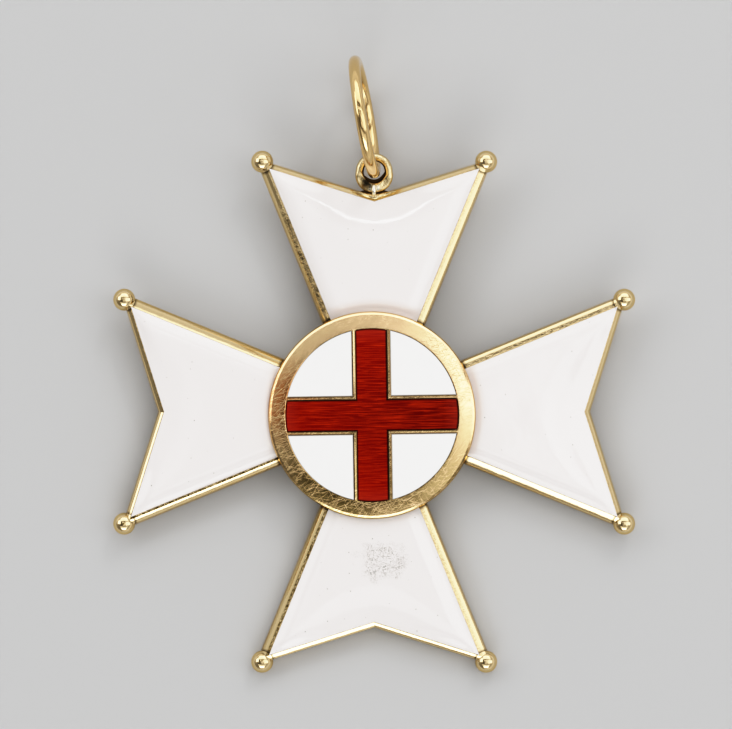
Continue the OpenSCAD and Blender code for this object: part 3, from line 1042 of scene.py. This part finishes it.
# Yellow gold, lapped flat on a stone: a soft satin mirror. Painted shade, olive, dulls it low on
# the left and on the right, with bright hair scratches through it, and on its left it is painted
# a brown shade. The real scratches are about 0.01 mm wide, and are drawn 0.07 mm wide to show.
def lapped_gold():
    material = new_material("yellow_gold_lapped")
    tree = material.node_tree
    place, from_line, from_ring = wall_distances(tree)
    waves = add_node(tree, "ShaderNodeTexNoise", inputs={"Vector": place, "Scale": 0.3, "Detail": 1.0})
    wavy = add_node(tree, "ShaderNodeBump", inputs={"Height": waves, "Distance": 0.012 * mm})
    marks = scratches(
        tree,
        place,
        (
            (16, 1.3, 0.07, 0.69),
            (31, 1.1, 0.08, 0.68),
            (43, 1.4, 0.07, 0.68),
            (57, 1.2, 0.08, 0.685),
            (118, 1.6, 0.06, 0.71),
            (168, 1.4, 0.07, 0.7),
        ),
    )
    # Painted shade, olive, darkens zones low on the left and on the right; the scratches cut through it.
    low_left = round_patch(tree, place, (-4.7, -8.6, medallion_top), full_r=2.5, clear_r=10.5)
    low_right = round_patch(tree, place, (7.4, -6.4, medallion_top), full_r=1.5, clear_r=7.5)
    shade_zones = add_node(
        tree,
        "ShaderNodeMath",
        {"operation": "MULTIPLY_ADD", "use_clamp": True},
        {0: low_right, 1: 0.8, 2: low_left},
    )
    clean = add_node(
        tree,
        "ShaderNodeMath",
        {"operation": "MULTIPLY_ADD", "use_clamp": True},
        {0: marks, 1: -0.9, 2: 1},
    )
    painted_shade = add_node(tree, "ShaderNodeMath", {"operation": "MULTIPLY"}, {0: shade_zones, 1: clean})
    bump = add_node(
        tree,
        "ShaderNodeBump",
        {"invert": True},
        {"Height": marks, "Distance": 0.0011 * mm, "Normal": wavy},
    )
    # On the left of the ring the gold is painted a brown shade.
    on_left = round_patch(tree, place, (-8.6, 1.4, medallion_top), full_r=1.5, clear_r=5.0)
    brown_shade_share = add_node(tree, "ShaderNodeMath", {"operation": "MULTIPLY"}, {0: on_left, 1: clean})
    brown = add_node(
        tree, "ShaderNodeMix", {"data_type": "RGBA"}, {"Factor": brown_shade_share, 6: lapped_colour, 7: left_brown_shade}
    )
    dulled = add_node(
        tree,
        "ShaderNodeMix",
        {"data_type": "RGBA"},
        {"Factor": painted_shade, 6: brown.outputs[2], 7: olive_shade},
    )

    # Painted shade lies as dark hairs along the worn edges of the walls.
    off_wall = add_node(
        tree,
        "ShaderNodeMath",
        {"operation": "SUBTRACT"},
        {0: from_line, 1: bar_half_w + bar_wall_w / 2},
    )
    off_middle = add_node(tree, "ShaderNodeMath", {"operation": "ABSOLUTE"}, {0: off_wall})
    at_wall_edge = add_node(
        tree,
        "ShaderNodeMapRange",
        inputs={"Value": off_middle, "From Min": 0.02, "From Max": 0.13, "To Max": 0.8},
    )
    in_field = add_node(
        tree, "ShaderNodeMapRange", inputs={"Value": from_ring, "From Min": -0.04, "From Max": 0.04}
    )
    wall_shade = add_node(tree, "ShaderNodeMath", {"operation": "MULTIPLY"}, {0: at_wall_edge, 1: in_field})
    colour = add_node(
        tree,
        "ShaderNodeMix",
        {"data_type": "RGBA"},
        {"Factor": wall_shade, 6: dulled.outputs[2], 7: wall_shade_on_gold},
    )
    shader = add_node(
        tree,
        "ShaderNodeBsdfPrincipled",
        inputs={
            "Base Color": colour.outputs[2],
            "Metallic": 1.0,
            "Roughness": 0.125,
            "Specular Tint": gold_edge_colour,
            "Normal": bump,
        },
    )
    add_node(tree, "ShaderNodeOutputMaterial", inputs={"Surface": shader})
    return material


disc = make_piece("medallion_disc", [medallion_disc()], lapped_gold(), on_seat)
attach(disc, "root")
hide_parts("medallion")


# The enamel of the medallion. Transparent red over ruled gold fills the cross, and opaque
# white the quarters. Both were stoned level with the gold walls and polished.
def filling(outline_at):
    """A level filling of a pocket: outline_at gives its outline, grown by a distance."""
    low = field_floor + seam
    high = medallion_top - seam
    edge = 0.03
    rings = [
        [(*p, low) for p in outline_at(-seam)],
        [(*p, high - edge) for p in outline_at(-seam)],
        [(*p, high) for p in outline_at(-seam - edge)],
    ]
    middle = [sum(p[i] for p in rings[0]) / len(rings[0]) for i in range(2)]
    return skin(rings, (*middle, low), (*middle, high))


darker_red = linear("#6C0501")
lighter_red = linear("#8B0D03")
glint_red = linear("#B83A10")
paler_red = linear("#B04A34")
wall_shade_red = linear("#240202")


# Transparent red enamel over ruled gold: glassy and deep, with the fine level lines of the ruling
# shown in it as painted glints, and painted shade, nearly black, along its walls. The lines are
# ruled closer than 0.1 mm, and are drawn up to 0.12 mm wide to show.
def red_enamel():
    material = new_material("red_enamel_over_ruled_gold")
    tree = material.node_tree
    place, from_line, from_ring = wall_distances(tree)
    # The ruling's lines are painted in the red as orange glints.
    long_lines = (3.5, 0.1, 0.42, 0.75)
    short_lines = (1.6, 0.12, 0.56, 0.8)
    ruled = []
    for length, width, least, most in (long_lines, short_lines):
        ruling = add_node(
            tree,
            "ShaderNodeMapping",
            {"vector_type": "TEXTURE"},
            {"Vector": place, "Scale": (length, width, length)},
        )
        lines = add_node(
            tree, "ShaderNodeTexNoise", inputs={"Vector": ruling, "Scale": 1.0, "Detail": 1.0}
        )
        glint = add_node(
            tree,
            "ShaderNodeMapRange",
            inputs={"Value": lines, "From Min": least, "From Max": most, "To Max": 0.75},
        )
        ruled.append(glint)
    glints = add_node(tree, "ShaderNodeMath", {"operation": "ADD"}, dict(enumerate(ruled)))
    # The red is darker towards the right, and lighter up, down and to the left.
    sides = add_node(tree, "ShaderNodeSeparateXYZ", inputs={0: place})
    up_or_down = add_node(tree, "ShaderNodeMath", {"operation": "ABSOLUTE"}, {0: sides.outputs["Y"]})
    off_right = add_node(
        tree,
        "ShaderNodeMath",
        {"operation": "MULTIPLY_ADD"},
        {0: sides.outputs["X"], 1: -0.6, 2: up_or_down},
    )
    lighter_share = add_node(
        tree, "ShaderNodeMapRange", inputs={"Value": off_right, "From Min": -4.0, "From Max": 8.0}
    )
    deep = add_node(
        tree, "ShaderNodeMix", {"data_type": "RGBA"}, {"Factor": lighter_share, 6: darker_red, 7: lighter_red}
    )
    with_glints = add_node(
        tree,
        "ShaderNodeMix",
        {"data_type": "RGBA"},
        {"Factor": glints, 6: deep.outputs[2], 7: glint_red},
    )
    # The red is paler towards the round ends of the bars.
    near_end = add_node(
        tree,
        "ShaderNodeMapRange",
        inputs={"Value": from_ring, "From Min": 1.5, "From Max": 0.3, "To Max": 0.3},
    )
    paler_at_ends = add_node(
        tree,
        "ShaderNodeMix",
        {"data_type": "RGBA"},
        {"Factor": near_end, 6: with_glints.outputs[2], 7: paler_red},
    )
    # Painted shade, nearly black, along the walls.
    from_bar_wall = add_node(
        tree, "ShaderNodeMath", {"operation": "SUBTRACT"}, {0: bar_half_w, 1: from_line}
    )
    from_wall = add_node(
        tree, "ShaderNodeMath", {"operation": "MINIMUM"}, {0: from_bar_wall, 1: from_ring}
    )
    by_wall = add_node(
        tree, "ShaderNodeMapRange", inputs={"Value": from_wall, "From Min": 0.2, "From Max": 0.05}
    )
    colour = add_node(
        tree,
        "ShaderNodeMix",
        {"data_type": "RGBA"},
        {"Factor": by_wall, 6: paler_at_ends.outputs[2], 7: wall_shade_red},
    )
    shader = add_node(
        tree,
        "ShaderNodeBsdfPrincipled",
        inputs={
            "Base Color": colour.outputs[2],
            "Metallic": 0.3,
            "Roughness": 0.5,
            "Specular IOR Level": 0.0,
            "Coat Weight": 0.4,
            "Coat Roughness": 0.05,
        },
    )
    add_node(tree, "ShaderNodeOutputMaterial", inputs={"Surface": shader})
    return material


red_cross = make_piece("red_cross_enamel", [filling(red_cross_outline)], red_enamel(), on_seat)
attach(red_cross, "root")
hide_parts("medallion_cross")


stoned_white = linear("#F2F1EF")
stoned_white_clear = linear("#F5F4F2")
wall_shade_on_white = linear("#4A3A28")


# Opaque white enamel, stoned flat: a plainer white than the arms, as level as the gold, with a
# dark hair of painted shade along its walls.
def flat_enamel():
    material = new_material("white_enamel_stoned")
    tree = material.node_tree
    place, from_line, from_ring = wall_distances(tree)
    cloud = add_node(tree, "ShaderNodeTexNoise", inputs={"Vector": place, "Scale": 0.5, "Detail": 2.0})
    white_glass = add_node(
        tree,
        "ShaderNodeMix",
        {"data_type": "RGBA"},
        {"Factor": cloud, 6: stoned_white, 7: stoned_white_clear},
    )
    bump = add_node(tree, "ShaderNodeBump", inputs={"Height": cloud, "Distance": 0.004 * mm})
    # A dark hair of painted shade along the walls.
    bar_wall = bar_half_w + bar_wall_w
    by_bar = add_node(
        tree,
        "ShaderNodeMapRange",
        inputs={
            "Value": from_line,
            "From Min": bar_wall + 0.13,
            "From Max": bar_wall + 0.05,
            "To Max": 0.65,
        },
    )
    by_ring = add_node(
        tree,
        "ShaderNodeMapRange",
        inputs={"Value": from_ring, "From Min": 0.09, "From Max": 0.04, "To Max": 0.6},
    )
    by_wall = add_node(tree, "ShaderNodeMath", {"operation": "MAXIMUM"}, {0: by_bar, 1: by_ring})
    colour = add_node(
        tree,
        "ShaderNodeMix",
        {"data_type": "RGBA"},
        {"Factor": by_wall, 6: white_glass.outputs[2], 7: wall_shade_on_white},
    )
    shader = add_node(
        tree,
        "ShaderNodeBsdfPrincipled",
        inputs={"Base Color": colour.outputs[2], "Roughness": 0.12, "IOR": 1.52, "Normal": bump},
    )
    add_node(tree, "ShaderNodeOutputMaterial", inputs={"Surface": shader})
    return material


quarter_white = flat_enamel()
for k, quarter in enumerate(("upper_right", "upper_left", "lower_left", "lower_right")):
    field = make_piece(
        "enamel_" + quarter,
        [filling(lambda grow: quarter_outline(grow, k * math.pi / 2))],
        quarter_white,
        on_seat,
    )
    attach(field, "root")
    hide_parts("medallion_field_" + quarter)


# The suspension ring. A round jump ring of drawn gold wire, soldered shut through the eye,
# which stands up in it and leans to the left.
ring_mean_r = 5.62
ring_wire_r = 0.59
ring_axis = Vector(mounts["suspension_ring"]["axis"])
ring_place = (
    Matrix.Translation(mounts["suspension_ring"]["pos_m"])
    @ ring_axis.to_track_quat("Z", "Y").to_matrix().to_4x4()
    @ Matrix.Scale(mm, 4)
)


def wire_ring(around=240, about=40):
    """A closed ring of round wire about the Z axis."""
    rings = []
    for i in range(around):
        a = 2 * math.pi * i / around
        ring = []
        for k in range(about):
            b = 2 * math.pi * k / about
            r = ring_mean_r + ring_wire_r * math.cos(b)
            ring.append((r * math.cos(a), r * math.sin(a), ring_wire_r * math.sin(b)))
        rings.append(ring)
    return skin(rings, closed=True)


drawn_colour = linear("#E4C796")


# Yellow gold, drawn to wire: rounder, warmer highlights, drawn out along the wire.
def drawn_gold():
    material = new_material("yellow_gold_drawn")
    tree = material.node_tree
    place = drawn_place(tree, ring_place)
    dents = add_node(tree, "ShaderNodeTexNoise", inputs={"Vector": place, "Scale": 1.1, "Detail": 2.0})
    bump = add_node(tree, "ShaderNodeBump", inputs={"Height": dents, "Distance": 0.009 * mm})
    shader = add_node(
        tree,
        "ShaderNodeBsdfPrincipled",
        inputs={"Base Color": drawn_colour, "Metallic": 1.0, "Roughness": 0.15, "Normal": bump},
    )
    add_node(tree, "ShaderNodeOutputMaterial", inputs={"Surface": shader})
    return material


jump_ring = make_piece("jump_ring", [wire_ring()], drawn_gold(), ring_place)
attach(jump_ring, "root")
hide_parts("suspension_ring")


# The floor, the light and the camera. The badge lies on a pale grey table under large soft
# lamps, and the camera looks straight down on its face.
card_grey = linear("#C1C1C1")
floor_half = 1.5
floor_mesh = bpy.data.meshes.new("floor")
floor_mesh.from_pydata(
    [(x * floor_half, y * floor_half, 0) for x, y in ((-1, -1), (1, -1), (1, 1), (-1, 1))],
    [],
    [(0, 1, 2, 3)],
)
floor = bpy.data.objects.new("floor", floor_mesh)
bpy.context.scene.collection.objects.link(floor)
table = new_material("grey_card_matt")
table_shader = add_node(
    table.node_tree,
    "ShaderNodeBsdfPrincipled",
    inputs={"Base Color": card_grey, "Roughness": 0.9, "Specular IOR Level": 0.1},
)
add_node(table.node_tree, "ShaderNodeOutputMaterial", inputs={"Surface": table_shader})
floor_mesh.materials.append(table)

# Brightness is given against a white card that would just show as white. All light is turned
# down by this share, because the tone curve below takes no light above 1.
turned_down = 0.6

# The camera looks straight at this place, so that the badge lies in the view as in the photo.
looked_at = lie @ Vector((-0.82, 4.72, ball_r))
above_badge = Matrix.Translation(looked_at) @ tip_up


def softbox(name, across, along, brightness):
    """A lamp on a ceiling over the badge. Its edges are angles from the camera's axis, to the
    right and towards the head of the badge, and its brightness is what a mirror shows of it."""
    ceiling = 1.0
    x = [ceiling * math.tan(math.radians(a)) for a in across]
    y = [ceiling * math.tan(math.radians(a)) for a in along]
    lamp = bpy.data.lights.new(name, "AREA")
    lamp.shape = "RECTANGLE"
    lamp.size = x[1] - x[0]
    lamp.size_y = y[1] - y[0]
    lamp.energy = turned_down * brightness * math.pi * lamp.size * lamp.size_y
    hung = bpy.data.objects.new(name, lamp)
    hung.matrix_world = above_badge @ Matrix.Translation((sum(x) / 2, sum(y) / 2, ceiling))
    hung.visible_camera = False
    bpy.context.scene.collection.objects.link(hung)


softbox("lamp_right", (18, 66), (-22, 24), 1.5)
softbox("lamp_right_near", (3.6, 18), (-7, 6), 1.35)
softbox("lamp_right_edge", (2.2, 2.8), (-5, 6), 1.5)
softbox("lamp_head", (-50, 52), (30, 70), 1.4)
softbox("lamp_head_right", (24, 33), (48, 58), 12.0)
softbox("lamp_strip", (-24, 24), (14.9, 16.4), 5.5)
softbox("lamp_left", (-68, -37), (-4, 50), 1.8)
softbox("lamp_left_near", (-18, -6), (-5, 12), 0.4)
softbox("lamp_foot", (-36, 32), (-66, -46), 3.2)
softbox("lamp_foot_glow", (-14, 14), (-19, -8.5), 1.0)
softbox("lamp_foot_near", (-45, 45), (-46, -30), 0.8)


def studio():
    """The dim room round the lamps. It is lighter towards the floor, though less so at the
    lower left, and glows softly above the badge on the side of its head."""
    world = bpy.data.worlds.new("studio")
    world.use_nodes = True
    tree = world.node_tree
    tree.nodes.clear()
    place = add_node(tree, "ShaderNodeTexCoord")
    turned_back = add_node(
        tree,
        "ShaderNodeVectorRotate",
        {"rotation_type": "X_AXIS"},
        {"Vector": place.outputs["Generated"], "Angle": -tip_up.to_euler().x},
    )
    way = add_node(tree, "ShaderNodeSeparateXYZ", inputs={0: turned_back.outputs["Vector"]})
    low_down = add_node(
        tree,
        "ShaderNodeMapRange",
        inputs={"Value": way.outputs["Z"], "From Min": 0.75, "From Max": 0.1},
    )
    away_from_corner = add_node(
        tree,
        "ShaderNodeVectorMath",
        {"operation": "DOT_PRODUCT"},
        {0: turned_back.outputs["Vector"], 1: (0.8, 0.6, 0)},
    )
    lit_side = add_node(
        tree,
        "ShaderNodeMapRange",
        inputs={
            "Value": away_from_corner.outputs["Value"],
            "From Min": -0.95,
            "From Max": -0.45,
            "To Min": 0.15,
            "To Max": 0.72,
        },
    )
    walls = add_node(
        tree, "ShaderNodeMath", {"operation": "MULTIPLY_ADD"}, {0: low_down, 1: lit_side, 2: 0.15}
    )
    towards_head = add_node(
        tree,
        "ShaderNodeMath",
        {"operation": "MULTIPLY_ADD"},
        {0: way.outputs["X"], 1: 0.3, 2: way.outputs["Y"]},
    )
    head_glow = add_node(
        tree,
        "ShaderNodeMapRange",
        {"interpolation_type": "SMOOTHSTEP"},
        {"Value": towards_head, "From Min": -0.02, "From Max": 0.06, "To Max": 0.55},
    )
    overhead = add_node(
        tree,
        "ShaderNodeMapRange",
        {"interpolation_type": "SMOOTHSTEP"},
        {"Value": way.outputs["Z"], "From Min": 0.975, "From Max": 0.992},
    )
    light = add_node(
        tree, "ShaderNodeMath", {"operation": "MULTIPLY_ADD"}, {0: head_glow, 1: overhead, 2: walls}
    )
    strength = add_node(tree, "ShaderNodeMath", {"operation": "MULTIPLY"}, {0: light, 1: turned_down})
    sky = add_node(
        tree, "ShaderNodeBackground", inputs={"Color": linear("#FFFFFF"), "Strength": strength}
    )
    add_node(tree, "ShaderNodeOutputWorld", inputs={"Surface": sky})
    return world


bpy.context.scene.world = studio()

camera_away = 0.6
view_width = 73.2 * mm
camera_data = bpy.data.cameras.new("camera")
camera_data.sensor_width = 36
camera_data.lens = camera_data.sensor_width * camera_away / view_width
camera = bpy.data.objects.new("camera", camera_data)
camera.matrix_world = above_badge @ Matrix.Translation((0, 0, camera_away))
bpy.context.scene.collection.objects.link(camera)
bpy.context.scene.camera = camera

# The photo's tone curve, as the light and what shows for it: deep darks, whites held just under
# paper white, soft highlights.
dark_tones = ((0.05, 0.018), (0.1, 0.05), (0.2, 0.145), (0.35, 0.32))
light_tones = ((0.6, 0.6), (0.85, 0.83), (1.1, 0.93), (1.4, 0.98))
view = bpy.context.scene.view_settings
view.view_transform = "Standard"
view.use_curve_mapping = True
tones = view.curve_mapping.curves[3]
for light, shown in dark_tones + light_tones:
    tones.points.new(light * turned_down, shown)
view.curve_mapping.update()
